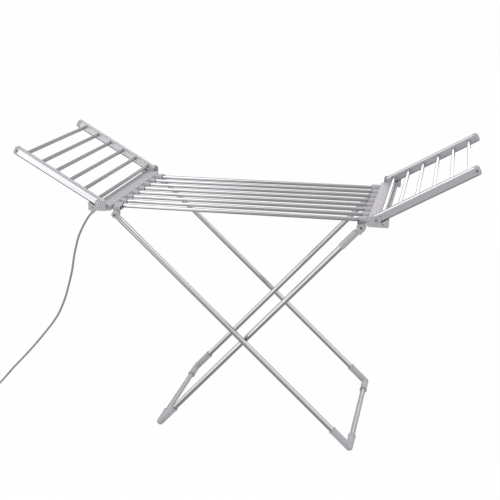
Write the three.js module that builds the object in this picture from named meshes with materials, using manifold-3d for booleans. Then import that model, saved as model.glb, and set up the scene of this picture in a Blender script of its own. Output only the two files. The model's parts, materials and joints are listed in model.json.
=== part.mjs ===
// Heated clothes airer: a folding frame of heated bars with two hinged wings and riveted cross legs.
// Millimetres, +Z up. The origin is on the floor under the middle of the frame, and X runs along the bars.
import * as THREE from 'three';
import { mergeVertices } from 'three/addons/utils/BufferGeometryUtils.js';
import Module from 'manifold-3d';

const wasm = await Module();
wasm.setup();

// Driving dimensions: fits and clearances
const runningGap = 0.3; // beside a pin, and where two pieces meet
const sideGap = 1; // each side of a wing rail in its hinge slot
const overrun = 2; // how far a cut passes the face it opens

// Driving dimensions: heated centre bars
const barCount = 8;
const barPitch = 60;
const barRadius = 6.25;
const barWall = 1;
const barHeight = 769.5; // height of the bars' axes
const socketDepth = 11;
const collarLength = 22;
const collarRadius = 8.6;
const collarMouthRadius = 7.9;

// Driving dimensions: end beams, mouldings that carry the bars
const beamInnerX = 410;
const beamWidth = 56;
const beamUnder = 8.5; // beam's underside below the bars' axes
const beamOver = 11.5; // beam's top above the bars' axes
const beamCrownRadius = 6;
const beamHemRadius = 2;
const grooveInset = 7; // from the beam's outboard side to the groove along its top
const grooveWidth = 2.4;
const grooveDepth = 1.6;

// Driving dimensions: wings
const hingeInset = 30; // beam's inboard side to the hinge pin
const hingeRise = 18.5; // hinge pin above the bars' axes
const wingAngle = 30; // degrees above level when open
const wingRailGap = 50; // axis of the outermost bar to the middle of a wing rail
const railTall = 30;
const railThick = 16;
const railWall = 1.3;
const wingLength = 330; // hinge pin to the tip of the end cap
const endCapLength = 13;
const endCapProud = 0.6;
const endCapTipRadius = 9;
const endCapPlug = 10;
const endCapPlugTall = 21;
const endCapPlugThick = 10;
const railRound = 7;
const railSolidEnd = 38; // hinge pin to where the rail turns hollow
const capScrewInset = 10;
const capScrewRadius = 3;
const capScrewDepth = 1.2;
const rungCount = 6;
const firstRung = 18; // hinge pin to the nearest rung
const lastRungInset = 34.5; // furthest rung to the tip of the end cap
const rungRadius = 6;
const rungSeat = 4; // how far a rung enters a rail
const hingePinRadius = 3;
const hingePinHeadRadius = 5.5;
const hingePinHead = 3;
const hingePinInset = 7; // how far the pin enters the inner cheek

// Driving dimensions: hinge housings
const cheekThick = 4.5;
const cheekUnder = 4.5; // cheek's underside below the bars' axes
const cheekRise = 11; // cheek's top above the hinge pin
const cheekInboard = 22; // hinge pin to the cheek's inboard side
const cheekOutboard = 14;
const cheekInnerRound = 9;
const cheekOuterRound = 6;
const earRadius = 11; // the inner cheek's rounded ear, inside the circle that the first wing bar swings on
const earThick = 10;
const innerCheekBase = 19; // from the slot to the end beam
const stopReach = 37; // hinge pin to the outboard end of the shelf that stops the wing
const screwBossOut = 21; // from the hinge pin
const screwBossDrop = 12;
const screwBossRadius = 3.5;
const screwBossProud = 1.2;
const screwHoleRadius = 1.6;
const screwHoleDepth = 3;
const corePocketWall = 3;
const corePocketRoof = 3;

// Driving dimensions: legs, an outer frame and an inner frame
const legRadius = 9;
const legWall = 1.1;
const legPivotInset = 17; // beam's inboard side to the leg pivots
const legPivotDrop = 19; // leg pivots below the bars' axes
const outerLegGap = 42.5; // axis of the outermost bar to an outer leg's axis
const innerLegGap = 20;
const outerFootX = 384;
const innerFootX = -269;
const footAxisHeight = 11;
const rivetRadius = 2.6;
const rivetHeadRadius = 5;
const rivetHead = 2.2;
const rivetSpacerRadius = 5;
const rivetReach = 5; // how far the rivet enters the inner tube

// Driving dimensions: corner elbows at the feet
const elbowRadius = 12;
const elbowLegArm = 80;
const elbowFootArm = 76;
const elbowBead = 5;
const elbowBeadProud = 1;
const tubeStop = 21; // corner to the end of the tube inside an elbow

// Driving dimensions: hangers under the outermost bars, and the leg heads pinned to them
const hangerSleeveRadius = 11;
const hangerSleeveLength = 28.4;
const tongueWidth = 23;
const tongueRadius = 11;
const tongueThick = 6;
const hangerArmOver = 4.5; // arm's top above the bars' axes
const hangerArmUnder = 9.5;
const pivotPinRadius = 4;
const pivotPinHeadRadius = 6.5;
const pivotPinHead = 2.6;
const pivotSpacerRadius = 7;
const headThick = 16;
const outerHeadGap = 3.5; // from the tongue to the outer leg's head
const innerHeadGap = 4;
const eyeRadius = 11;
const neckLength = 24; // pivot to the top end of the outer leg's tube
const plugLength = 20;
const plugFit = 0.5;
const jawHalfWidth = 14;
const jawTop = 8.5;
const jawBottom = 22;
const jawRound = 6;
const jawSlotHalf = 4.7;
const jawSlotDepth = 11;
const jawSleeveStart = 20;
const jawSleeveEnd = 88;
const jawSleeveRadius = 11.2;
const jawTubeStart = 27;
const screwDimpleRadius = 3;
const screwDimpleDepth = 1.5;

// Driving dimensions: mains lead
const cordRadius = 3.5;
const cordLength = 1800; // gland to plug
const cordSides = 8;
const cordSteps = 62;
const floorLay = 3.9; // height of the lead's axis where it lies on the floor
const glandInset = 16; // from the outboard end of the housing
const glandLean = 42; // degrees from straight down, away from the frame
const glandLength = 20;
const glandRootRadius = 7.5;
const glandTipRadius = 4.8;
const glandStemRadius = 4.5;
const glandStemDepth = 5;
const coilTurns = 3;
const coilPitch = 8;
const coilLayer = 7.7;
const coilTurnSteps = 24;
const coilSides = 6;
const coilTail = 34; // straight run from the coil to the plug

// Driving dimensions: three-pin plug, lying on its back
const plugWidth = 48;
const plugDepth = 40;
const plugThick = 22;
const plugRound = 9;
const plugEdge = 3;
const plugBoot = 9;
const plugBootRadius = 5.6;
const plugBootMouth = 4.6;
const earthPin = { width: 4, depth: 8, length: 22.7, offset: -10 };
const linePin = { width: 6.4, depth: 4, length: 17.7, offset: 12.2, spacing: 22.2 };

// Worked out from the driving dimensions
const toRadians = THREE.MathUtils.degToRad;
const barSpan = beamInnerX + socketDepth - runningGap; // half the length of a centre bar
const outerBarY = (barPitch * (barCount - 1)) / 2;
const beamBottom = barHeight - beamUnder;
const beamTop = barHeight + beamOver;
const beamOuterX = beamInnerX + beamWidth;
const hingeX = beamInnerX + hingeInset;
const hingeHeight = barHeight + hingeRise;
const wingRailY = outerBarY + wingRailGap;
const rungPitch = (wingLength - firstRung - lastRungInset) / (rungCount - 1);
const cheekBottom = barHeight - cheekUnder;
const cheekTop = hingeHeight + cheekRise;
const stopX = hingeX + stopReach;
const glandX = stopX - glandInset;
const legPivotX = beamInnerX - legPivotInset;
const legPivotHeight = barHeight - legPivotDrop;
const outerLegY = outerBarY + outerLegGap;
const innerLegY = outerBarY + innerLegGap;
const slotInnerY = wingRailY - railThick / 2 - sideGap;
const slotOuterY = wingRailY + railThick / 2 + sideGap;
const housingOuterY = slotOuterY + cheekThick;
const housingInnerY = slotInnerY - innerCheekBase;
const beamEndY = housingInnerY - runningGap;
const wingTilt = toRadians(wingAngle);
const railClear = railTall / 2 + runningGap;
const wingRailLength = wingLength - endCapLength - runningGap;

const aluminium = { color: 0xc9cacd, metalness: 0.85, roughness: 0.35 };
const brightSteel = { color: 0xb4b5b8, metalness: 0.9, roughness: 0.3 };
const greyPlastic = { color: 0xb9b9be, metalness: 0, roughness: 0.5 };
const leadGrey = { color: 0x9d9da1, metalness: 0, roughness: 0.6 };

const airer = new THREE.Group();

// Solids
function toSolid(geometry) {
  const bare = geometry.clone();
  bare.deleteAttribute('normal');
  bare.deleteAttribute('uv');
  const merged = mergeVertices(bare, 1e-4);
  const vertProperties = Float32Array.from(merged.attributes.position.array);
  const corners = merged.index.array;
  const kept = [];
  for (let i = 0; i < corners.length; i += 3) {
    const [a, b, c] = corners.slice(i, i + 3);
    if (a !== b && b !== c && c !== a) kept.push(a, b, c);
  }
  const triVerts = Uint32Array.from(kept);
  return new wasm.Manifold(new wasm.Mesh({ numProp: 3, vertProperties, triVerts }));
}

function toGeometry(solid) {
  const mesh = solid.getMesh();
  const geometry = new THREE.BufferGeometry();
  geometry.setAttribute('position', new THREE.BufferAttribute(Float32Array.from(mesh.vertProperties), 3));
  geometry.setIndex(new THREE.BufferAttribute(Uint32Array.from(mesh.triVerts), 1));
  geometry.computeVertexNormals();
  return geometry;
}

// Joins the parts, then takes the cuts away.
function carve(parts, cuts = []) {
  let body = toSolid(parts[0]);
  for (const part of parts.slice(1)) body = body.add(toSolid(part));
  for (const cut of cuts) body = body.subtract(toSolid(cut));
  return toGeometry(body);
}

const at = (x, y, z) => new THREE.Vector3(x, y, z);

// Stands a shape made along +Y on the line from one point towards another.
function aim(geometry, from, to) {
  const along = to.clone().sub(from).normalize();
  geometry.applyQuaternion(new THREE.Quaternion().setFromUnitVectors(at(0, 1, 0), along));
  return geometry.translate(from.x, from.y, from.z);
}

function rod(from, to, radius, sides = 16, endRadius = radius) {
  const length = from.distanceTo(to);
  const cylinder = new THREE.CylinderGeometry(endRadius, radius, length, sides);
  return aim(cylinder.translate(0, length / 2, 0), from, to);
}

// Turns a closed profile of [radius, distance] points about the line from one point towards another.
function turned(profile, from, to, sides = 16) {
  const points = profile.map(([radius, distance]) => new THREE.Vector2(radius, distance));
  return aim(new THREE.LatheGeometry(points, sides), from, to);
}

function tube(from, to, radius, wall, sides = 16) {
  const length = from.distanceTo(to);
  const bore = radius - wall;
  const ring = [[bore, 0], [radius, 0], [radius, length], [bore, length], [bore, 0]];
  return turned(ring, from, to, sides);
}

// Draws a closed outline through [x, z, corner radius] points.
function outline(points, cornerSteps = 4) {
  const drawn = [];
  points.forEach(([x, z, radius = 0], index) => {
    const corner = new THREE.Vector2(x, z);
    const [beforeX, beforeZ] = points.at(index - 1);
    const [afterX, afterZ] = points[(index + 1) % points.length];
    const before = new THREE.Vector2(beforeX, beforeZ).sub(corner).normalize();
    const after = new THREE.Vector2(afterX, afterZ).sub(corner).normalize();
    if (radius === 0) {
      drawn.push(corner);
      return;
    }
    const half = Math.acos(before.dot(after)) / 2;
    const centre = before.clone().add(after).setLength(radius / Math.sin(half)).add(corner);
    const start = before.clone().multiplyScalar(radius / Math.tan(half)).add(corner).sub(centre);
    const end = after.clone().multiplyScalar(radius / Math.tan(half)).add(corner).sub(centre);
    const sweep = Math.atan2(start.cross(end), start.dot(end));
    for (let step = 0; step <= cornerSteps; step += 1) {
      const turn = (sweep * step) / cornerSteps;
      drawn.push(start.clone().rotateAround(new THREE.Vector2(), turn).add(centre));
    }
  });
  return new THREE.Shape(drawn);
}

// Extrudes an outline of the XZ plane from one Y to another.
function slab(shape, fromY, toY) {
  const options = { depth: toY - fromY, bevelEnabled: false };
  return new THREE.ExtrudeGeometry(shape, options).rotateX(Math.PI / 2).translate(0, toY, 0);
}

function block(low, high) {
  const size = high.clone().sub(low);
  const middle = low.clone().add(high).multiplyScalar(1 / 2);
  return new THREE.BoxGeometry(size.x, size.y, size.z).translate(middle.x, middle.y, middle.z);
}

// Reflects a piece made for the +X, +Y corner into another corner.
function toCorner(geometry, sideX, sideY) {
  const reflected = geometry.clone().scale(sideX, sideY, 1);
  if (sideX * sideY < 0) {
    const index = reflected.index.array;
    for (let i = 0; i < index.length; i += 3) [index[i], index[i + 1]] = [index[i + 1], index[i]];
  }
  reflected.computeVertexNormals();
  return reflected;
}

function add(group, name, geometry, finish) {
  const mesh = new THREE.Mesh(geometry, new THREE.MeshStandardMaterial(finish));
  mesh.name = name;
  group.add(mesh);
  return mesh;
}

const sides = [
  { x: -1, name: 'left' },
  { x: 1, name: 'right' },
];
const ends = [
  { y: -1, name: 'front' },
  { y: 1, name: 'rear' },
];

// Centre frame: bars, end beams
const beamSection = outline([
  [beamInnerX, beamBottom, beamHemRadius],
  [beamOuterX, beamBottom, beamHemRadius],
  [beamOuterX, beamTop, beamCrownRadius],
  [beamInnerX, beamTop, beamCrownRadius],
]);

function beam() {
  const grooveX = beamOuterX - grooveInset;
  const groove = block(
    at(grooveX, -beamEndY - overrun, beamTop - grooveDepth),
    at(grooveX + grooveWidth, beamEndY + overrun, beamTop + overrun),
  );
  const parts = [slab(beamSection, -beamEndY, beamEndY)];
  const cuts = [groove];
  for (let index = 0; index < barCount; index += 1) {
    const y = index * barPitch - outerBarY;
    const mouth = at(beamInnerX - collarLength, y, barHeight);
    const seat = at(beamInnerX + socketDepth, y, barHeight);
    if (Math.abs(y) < outerBarY) {
      const root = at(beamInnerX + beamHemRadius, y, barHeight);
      parts.push(rod(root, mouth, collarRadius, 14, collarMouthRadius));
    }
    cuts.push(rod(mouth.clone().setX(mouth.x - overrun), seat, barRadius + runningGap, 12));
  }
  return carve(parts, cuts);
}

for (let index = 0; index < barCount; index += 1) {
  const bar = tube(at(-barSpan, 0, 0), at(barSpan, 0, 0), barRadius, barWall, 14);
  const mesh = add(airer, `centre_bar_${index + 1}`, bar, aluminium);
  mesh.position.set(0, index * barPitch - outerBarY, barHeight);
}

const beamGeometry = beam();
for (const side of sides) {
  add(airer, `${side.name}_beam`, toCorner(beamGeometry, side.x, 1), greyPlastic);
}

// Hinge housings: an open slot for the wing rail between two cheeks, with a sloping shelf that stops the wing
function railUnderside(x) {
  return hingeHeight + (x - hingeX) * Math.tan(wingTilt) - railClear / Math.cos(wingTilt);
}

function housing() {
  const slotFloor = hingeHeight - railClear;
  const floorMeetsShelf = hingeX + railClear * Math.tan(wingTilt / 2);
  const cheekInnerX = hingeX - cheekInboard;
  const cheekOuterX = hingeX + cheekOutboard;
  const cheek = outline([
    [cheekInnerX, cheekBottom, beamHemRadius],
    [stopX, cheekBottom, beamHemRadius],
    [stopX, railUnderside(stopX)],
    [cheekOuterX, railUnderside(cheekOuterX)],
    [cheekOuterX, cheekTop, cheekOuterRound],
    [cheekInnerX, cheekTop, cheekInnerRound],
  ]);
  const ear = outline([
    [hingeX - earRadius, cheekBottom],
    [hingeX + earRadius, cheekBottom],
    [hingeX + earRadius, hingeHeight + earRadius, earRadius],
    [hingeX - earRadius, hingeHeight + earRadius, earRadius],
  ]);
  const slot = outline([
    [stopX + overrun, railUnderside(stopX + overrun)],
    [stopX + overrun, cheekTop + overrun],
    [cheekInnerX - overrun, cheekTop + overrun],
    [cheekInnerX - overrun, slotFloor],
    [floorMeetsShelf, slotFloor, railClear],
  ], 6);
  const pocket = (fromX, toX, fromY, toY) => block(
    at(fromX, fromY, beamBottom - overrun),
    at(toX, toY, slotFloor - corePocketRoof),
  );
  const pocketSplit = (beamInnerX + beamOuterX) / 2;
  const pocketLow = housingInnerY + corePocketWall;
  const pocketHigh = slotInnerY - corePocketWall;
  const hingeAt = (y) => at(hingeX, y, hingeHeight);
  const pinHoleEnd = hingeAt(slotInnerY - hingePinInset);
  const screwAt = (y) => at(hingeX + screwBossOut, y, hingeHeight - screwBossDrop);
  const bossFace = housingOuterY + screwBossProud;
  return carve(
    [
      slab(cheek, slotInnerY, housingOuterY),
      slab(ear, slotInnerY - earThick, slotInnerY),
      slab(beamSection, housingInnerY, slotInnerY),
      rod(screwAt(slotOuterY + runningGap), screwAt(bossFace), screwBossRadius, 12),
    ],
    [
      slab(slot, slotInnerY, slotOuterY),
      rod(pinHoleEnd, hingeAt(housingOuterY + overrun), hingePinRadius + runningGap, 12),
      rod(screwAt(bossFace - screwHoleDepth), screwAt(bossFace + overrun), screwHoleRadius, 10),
      pocket(beamInnerX + corePocketWall, pocketSplit - corePocketWall / 2, pocketLow, pocketHigh),
      pocket(pocketSplit + corePocketWall / 2, beamOuterX - corePocketWall, pocketLow, pocketHigh),
    ],
  );
}

const housingGeometry = housing();
const glandHole = rod(
  at(-glandX, -wingRailY, cheekBottom - overrun),
  at(-glandX, -wingRailY, cheekBottom + glandStemDepth + runningGap),
  glandStemRadius + runningGap,
);
const pinTip = slotInnerY - hingePinInset + runningGap;
const pinShoulder = housingOuterY + runningGap;
const hingePin = carve([
  rod(at(hingeX, pinTip, hingeHeight), at(hingeX, pinShoulder, hingeHeight), hingePinRadius, 12),
  rod(
    at(hingeX, pinShoulder, hingeHeight),
    at(hingeX, pinShoulder + hingePinHead, hingeHeight),
    hingePinHeadRadius,
  ),
]);
for (const side of sides) {
  for (const end of ends) {
    const corner = `${side.name}_${end.name}`;
    const hasLead = side.x < 0 && end.y < 0;
    const body = toCorner(housingGeometry, side.x, end.y);
    add(airer, `${corner}_hinge_housing`, hasLead ? carve([body], [glandHole]) : body, greyPlastic);
    add(airer, `${corner}_hinge_pin`, toCorner(hingePin, side.x, end.y), brightSteel);
  }
}

// Wings, each modelled lying along +X from its hinge pin
function alongX(shape, fromX, toX) {
  const geometry = new THREE.ExtrudeGeometry(shape, { depth: toX - fromX, bevelEnabled: false });
  const depthToX = new THREE.Matrix4().set(0, 0, 1, fromX, 1, 0, 0, 0, 0, 1, 0, 0, 0, 0, 0, 1);
  return geometry.applyMatrix4(depthToX);
}

function oval(thick, tall, radius) {
  return outline([
    [-thick / 2, -tall / 2, radius],
    [thick / 2, -tall / 2, radius],
    [thick / 2, tall / 2, radius],
    [-thick / 2, tall / 2, radius],
  ], 3);
}

const rungAt = (index) => firstRung + index * rungPitch;
const railInnerFace = wingRailY - railThick / 2;

function wingRail() {
  const halfOval = outline([
    [0, -railThick / 2],
    [railTall / 2, -railThick / 2, railRound],
    [railTall / 2, railThick / 2, railRound],
    [0, railThick / 2],
  ], 3);
  const roundEnd = new THREE.LatheGeometry(halfOval.getPoints(), 20);
  const hollow = oval(railThick - 2 * railWall, railTall - 2 * railWall, railRound - railWall);
  const cuts = [
    alongX(hollow, railSolidEnd, wingRailLength + overrun),
    rod(at(0, -railThick, 0), at(0, railThick, 0), hingePinRadius + runningGap, 12),
  ];
  for (let index = 0; index < rungCount; index += 1) {
    const inward = at(rungAt(index), -railThick, 0);
    const seat = at(rungAt(index), rungSeat - railThick / 2, 0);
    cuts.push(rod(inward, seat, rungRadius + runningGap, 12));
  }
  return carve([roundEnd, alongX(oval(railThick, railTall, railRound), 0, wingRailLength)], cuts)
    .translate(0, wingRailY, 0);
}

function endCap() {
  const start = wingLength - endCapLength;
  const tall = railTall / 2 + endCapProud;
  const thick = railThick + 2 * endCapProud;
  const profile = outline([
    [start, -tall],
    [wingLength, -tall, endCapTipRadius],
    [wingLength, tall, endCapTipRadius],
    [start, tall],
  ]);
  const shell = toSolid(slab(profile, -thick / 2, thick / 2))
    .intersect(toSolid(alongX(oval(thick, 2 * tall, railRound + endCapProud), start, wingLength)));
  const plug = block(
    at(start - endCapPlug, -endCapPlugThick / 2, -endCapPlugTall / 2),
    at(start + endCapProud, endCapPlugThick / 2, endCapPlugTall / 2),
  );
  const face = thick / 2;
  const screwX = wingLength - capScrewInset;
  const screw = rod(at(screwX, face - capScrewDepth, 0), at(screwX, face + overrun, 0), capScrewRadius, 12);
  return carve([toGeometry(shell), plug], [screw]).translate(0, wingRailY, 0);
}

const railGeometry = wingRail();
const capGeometry = endCap();
const rungEnd = railInnerFace + rungSeat - runningGap;
for (const side of sides) {
  const wing = new THREE.Group();
  wing.position.set(side.x * hingeX, 0, hingeHeight);
  wing.rotation.y = side.x > 0 ? -wingTilt : Math.PI + wingTilt;
  airer.add(wing);
  for (const end of ends) {
    add(wing, `${side.name}_wing_${end.name}_rail`, toCorner(railGeometry, 1, end.y), aluminium);
    add(wing, `${side.name}_wing_${end.name}_cap`, toCorner(capGeometry, 1, end.y), greyPlastic);
  }
  for (let index = 0; index < rungCount; index += 1) {
    const rung = tube(at(0, -rungEnd, 0), at(0, rungEnd, 0), rungRadius, barWall, 14);
    add(wing, `${side.name}_wing_bar_${index + 1}`, rung, aluminium).position.x = rungAt(index);
  }
}

// Hangers under the outermost bars, each with the pin that carries a leg
function hanger(tongueOuterY, pin) {
  const armTop = barHeight + hangerArmOver;
  const halfWidth = tongueWidth / 2;
  const low = legPivotHeight - tongueRadius;
  const tongue = outline([
    [legPivotX - halfWidth, armTop],
    [legPivotX - halfWidth, low, tongueRadius],
    [legPivotX + halfWidth, low, tongueRadius],
    [legPivotX + halfWidth, armTop],
  ], 8);
  const sleeveEnd = beamInnerX - runningGap;
  const pivotAt = (y) => at(legPivotX, y, legPivotHeight);
  const barAt = (x) => at(x, outerBarY, barHeight);
  const parts = [
    rod(barAt(sleeveEnd - hangerSleeveLength), barAt(sleeveEnd), hangerSleeveRadius, 16),
    block(
      at(legPivotX - halfWidth, outerBarY, barHeight - hangerArmUnder),
      at(legPivotX + halfWidth, tongueOuterY - tongueThick / 2, armTop),
    ),
    slab(tongue, tongueOuterY - tongueThick, tongueOuterY),
    rod(pivotAt(tongueOuterY - tongueThick / 2), pivotAt(pin.endY), pivotPinRadius),
  ];
  if (pin.headed) {
    parts.push(rod(pivotAt(tongueOuterY - tongueThick / 2), pivotAt(pin.spacerY), pivotSpacerRadius));
    parts.push(rod(pivotAt(pin.endY), pivotAt(pin.endY + pivotPinHead), pivotPinHeadRadius));
  }
  const boreStart = barAt(sleeveEnd - hangerSleeveLength - overrun);
  const bore = rod(boreStart, barAt(sleeveEnd + overrun), barRadius + runningGap, 12);
  return carve(parts, [bore]);
}

const outerHeadFace = outerLegY - headThick / 2;
const innerHeadFace = innerLegY - headThick / 2;
const pinnedHanger = hanger(outerHeadFace - outerHeadGap, {
  headed: true,
  spacerY: outerHeadFace - runningGap,
  endY: outerLegY + headThick / 2 + runningGap,
});
const openHanger = hanger(innerHeadFace - innerHeadGap, {
  headed: false,
  endY: innerHeadFace + jawSlotDepth - runningGap,
});
for (const end of ends) {
  add(airer, `left_${end.name}_leg_hanger`, toCorner(pinnedHanger, -1, end.y), greyPlastic);
  add(airer, `right_${end.name}_leg_hanger`, toCorner(openHanger, 1, end.y), greyPlastic);
}

// Legs, each frame modelled lying along +X from its pivot
function legFrame(pivotX, footX, legY) {
  const drop = legPivotHeight - footAxisHeight;
  const group = new THREE.Group();
  group.position.set(pivotX, 0, legPivotHeight);
  group.rotation.y = Math.atan2(drop, footX - pivotX);
  group.updateMatrixWorld(true);
  airer.add(group);
  return { group, legY, turn: group.rotation.y, length: Math.hypot(drop, footX - pivotX) };
}

const outerLegs = legFrame(-legPivotX, outerFootX, outerLegY);
const innerLegs = legFrame(legPivotX, innerFootX, innerLegY);
const crossingShare = (2 * legPivotX) / (outerFootX + 2 * legPivotX - innerFootX);

function elbow(legs) {
  const { length, legY } = legs;
  const corner = at(length, legY, 0);
  const legAt = (distance) => at(length - distance, legY, 0);
  const footAt = (distance) => at(length, legY - distance, 0);
  const knuckle = new THREE.SphereGeometry(elbowRadius, 18, 12).translate(corner.x, corner.y, corner.z);
  const beadMiddle = elbowBead / 2;
  const beadRadius = elbowRadius + elbowBeadProud;
  const bore = legRadius + runningGap;
  const outside = elbowRadius * 2;
  const floorSlab = block(
    at(legs.group.position.x - 2 * length, -2 * legY, -outside),
    at(legs.group.position.x + 2 * length, 2 * legY, 0),
  ).applyMatrix4(legs.group.matrixWorld.clone().invert());
  return carve(
    [
      knuckle,
      rod(legAt(elbowLegArm - beadMiddle), corner, elbowRadius, 14),
      rod(footAt(elbowFootArm - beadMiddle), corner, elbowRadius, 14),
      rod(legAt(elbowLegArm), legAt(elbowLegArm - elbowBead), beadRadius, 14),
      rod(footAt(elbowFootArm), footAt(elbowFootArm - elbowBead), beadRadius, 14),
    ],
    [
      rod(legAt(elbowLegArm + overrun), legAt(tubeStop), bore, 14),
      rod(footAt(elbowFootArm + overrun), footAt(tubeStop), bore, 14),
      floorSlab,
    ],
  );
}

function outerHead(legs) {
  const face = headThick / 2;
  const y = legs.legY;
  const neckStart = Math.max(pivotSpacerRadius, pivotPinHeadRadius) + runningGap;
  return carve(
    [
      rod(at(0, y - face, 0), at(0, y + face, 0), eyeRadius, 20),
      rod(at(neckStart, y, 0), at(neckLength, y, 0), legRadius),
      rod(at(0, y, 0), at(neckLength + plugLength, y, 0), legRadius - legWall - plugFit),
    ],
    [rod(at(0, y - face - overrun, 0), at(0, y + face + overrun, 0), pivotPinRadius + runningGap, 14)],
  );
}

// The inner legs' heads are upright jaws that slide onto the hangers' pins from the outboard side.
function innerHead(legs) {
  const face = headThick / 2;
  const y = legs.legY;
  const upright = (geometry) => geometry.rotateY(-legs.turn);
  const jaw = outline([
    [-jawHalfWidth, -jawBottom, jawRound],
    [0, -jawBottom, jawRound],
    [jawHalfWidth, -jawSlotHalf, jawRound],
    [jawHalfWidth, jawTop, jawRound],
    [-jawHalfWidth, jawTop, jawRound],
  ]);
  const mouth = outline([
    [-jawHalfWidth - overrun, -jawSlotHalf],
    [0, -jawSlotHalf],
    [0, jawSlotHalf],
    [-jawHalfWidth - overrun, jawSlotHalf],
  ]);
  const slotStart = y - face - overrun;
  const slotFloor = y - face + jawSlotDepth;
  return carve(
    [
      upright(slab(jaw, y - face, y + face)),
      rod(at(jawSleeveStart, y, 0), at(jawSleeveEnd, y, 0), jawSleeveRadius, 20),
    ],
    [
      upright(slab(mouth, slotStart, slotFloor)),
      rod(at(0, slotStart, 0), at(0, slotFloor, 0), jawSlotHalf),
      rod(at(jawTubeStart, y, 0), at(jawSleeveEnd + overrun, y, 0), legRadius + runningGap),
      rod(at(0, y + face - screwDimpleDepth, 0), at(0, y + face + overrun, 0), screwDimpleRadius, 12),
    ],
  );
}

function legTube(legs, start) {
  const y = legs.legY;
  return tube(at(start, y, 0), at(legs.length - tubeStop - runningGap, y, 0), legRadius, legWall, 18);
}

// A spacer keeps the two frames apart at the rivet, and the inner tube turns on the rivet.
function rivetedTube(legs, start) {
  const x = crossingShare * legs.length;
  const rivetAt = (y) => at(x, y, 0);
  const outside = legs.legY + legRadius;
  const innerTubeFace = innerLegY + legRadius;
  return carve([
    legTube(legs, start),
    rod(rivetAt(innerTubeFace - rivetReach), rivetAt(outside), rivetRadius, 12),
    rod(rivetAt(innerTubeFace + runningGap), rivetAt(legs.legY - legRadius + legWall), rivetSpacerRadius, 12),
    rod(rivetAt(outside - legWall), rivetAt(outside + rivetHead), rivetHeadRadius, 12),
  ]);
}

function drilledTube(legs, start) {
  const x = crossingShare * legs.length;
  const outside = legs.legY + legRadius + overrun;
  const hole = rod(at(x, legs.legY, 0), at(x, outside, 0), rivetRadius + runningGap, 12);
  return carve([legTube(legs, start)], [hole]);
}

const legKinds = [
  {
    name: 'outer',
    legs: outerLegs,
    head: outerHead(outerLegs),
    longTube: rivetedTube(outerLegs, neckLength + runningGap),
  },
  {
    name: 'inner',
    legs: innerLegs,
    head: innerHead(innerLegs),
    longTube: drilledTube(innerLegs, jawTubeStart + runningGap),
  },
];
for (const { name, legs, head, longTube } of legKinds) {
  const elbowGeometry = elbow(legs);
  for (const end of ends) {
    add(legs.group, `${name}_leg_${end.name}_head`, toCorner(head, 1, end.y), greyPlastic);
    add(legs.group, `${name}_leg_${end.name}_tube`, toCorner(longTube, 1, end.y), aluminium);
    add(legs.group, `${name}_leg_${end.name}_elbow`, toCorner(elbowGeometry, 1, end.y), greyPlastic);
  }
  const footEnd = legs.legY - tubeStop - runningGap;
  const footTube = tube(at(0, -footEnd, 0), at(0, footEnd, 0), legRadius, legWall, 18);
  add(legs.group, `${name}_leg_foot_tube`, footTube, aluminium).position.x = legs.length;
}

// Mains lead: gland, hanging stretch, coil on the floor, plug
const lean = toRadians(glandLean);
const glandRoot = at(-glandX, -wingRailY, cheekBottom);
const glandWay = at(-Math.sin(lean), 0, -Math.cos(lean));
const glandTip = glandRoot.clone().addScaledVector(glandWay, glandLength);

function gland() {
  const buried = glandRoot.clone().addScaledVector(glandWay, -glandRootRadius);
  const face = cheekBottom - runningGap;
  const ceiling = block(
    at(-stopX - glandLength, -wingRailY - glandLength, face),
    at(0, -wingRailY + glandLength, cheekTop),
  );
  const boot = carve([rod(buried, glandTip, glandRootRadius, 16, glandTipRadius)], [ceiling]);
  const stemAt = (height) => at(-glandX, -wingRailY, height);
  const stem = rod(stemAt(face - 2 * overrun), stemAt(cheekBottom + glandStemDepth), glandStemRadius);
  return carve([boot, stem]);
}

add(airer, 'cord_gland', gland(), greyPlastic);

const leadStart = glandTip.clone().addScaledVector(glandWay, runningGap);
// Each is [how far out of the gland, how far in front of it, share of the gland's height].
const hangShares = [
  [20, 2, 0.962],
  [35, 4, 0.925],
  [47, 5, 0.889],
  [56, 5, 0.85],
  [64, 5, 0.811],
  [71, 5, 0.765],
  [77, 5, 0.728],
  [85, 5, 0.69],
  [94, 5, 0.651],
  [104, 5, 0.611],
  [116, 5, 0.572],
  [131, 5, 0.53],
  [155, 5, 0.48],
  [190, 5, 0.421],
  [232, 5, 0.354],
  [277, 5, 0.288],
  [322, 5, 0.224],
  [370, 5, 0.151],
  [416, 7, 0.09],
  [459, 9, 0.041],
  [494, 10, 0.012],
  [526, 10, 0],
  [556, 10, 0],
];
const leadRoute = new THREE.CatmullRomCurve3([
  leadStart,
  leadStart.clone().addScaledVector(glandWay, 2 * cordRadius),
  ...hangShares.map(([out, ahead, heightShare]) => at(
    leadStart.x - out,
    leadStart.y - ahead,
    THREE.MathUtils.lerp(floorLay, leadStart.z, heightShare),
  )),
]);

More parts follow.
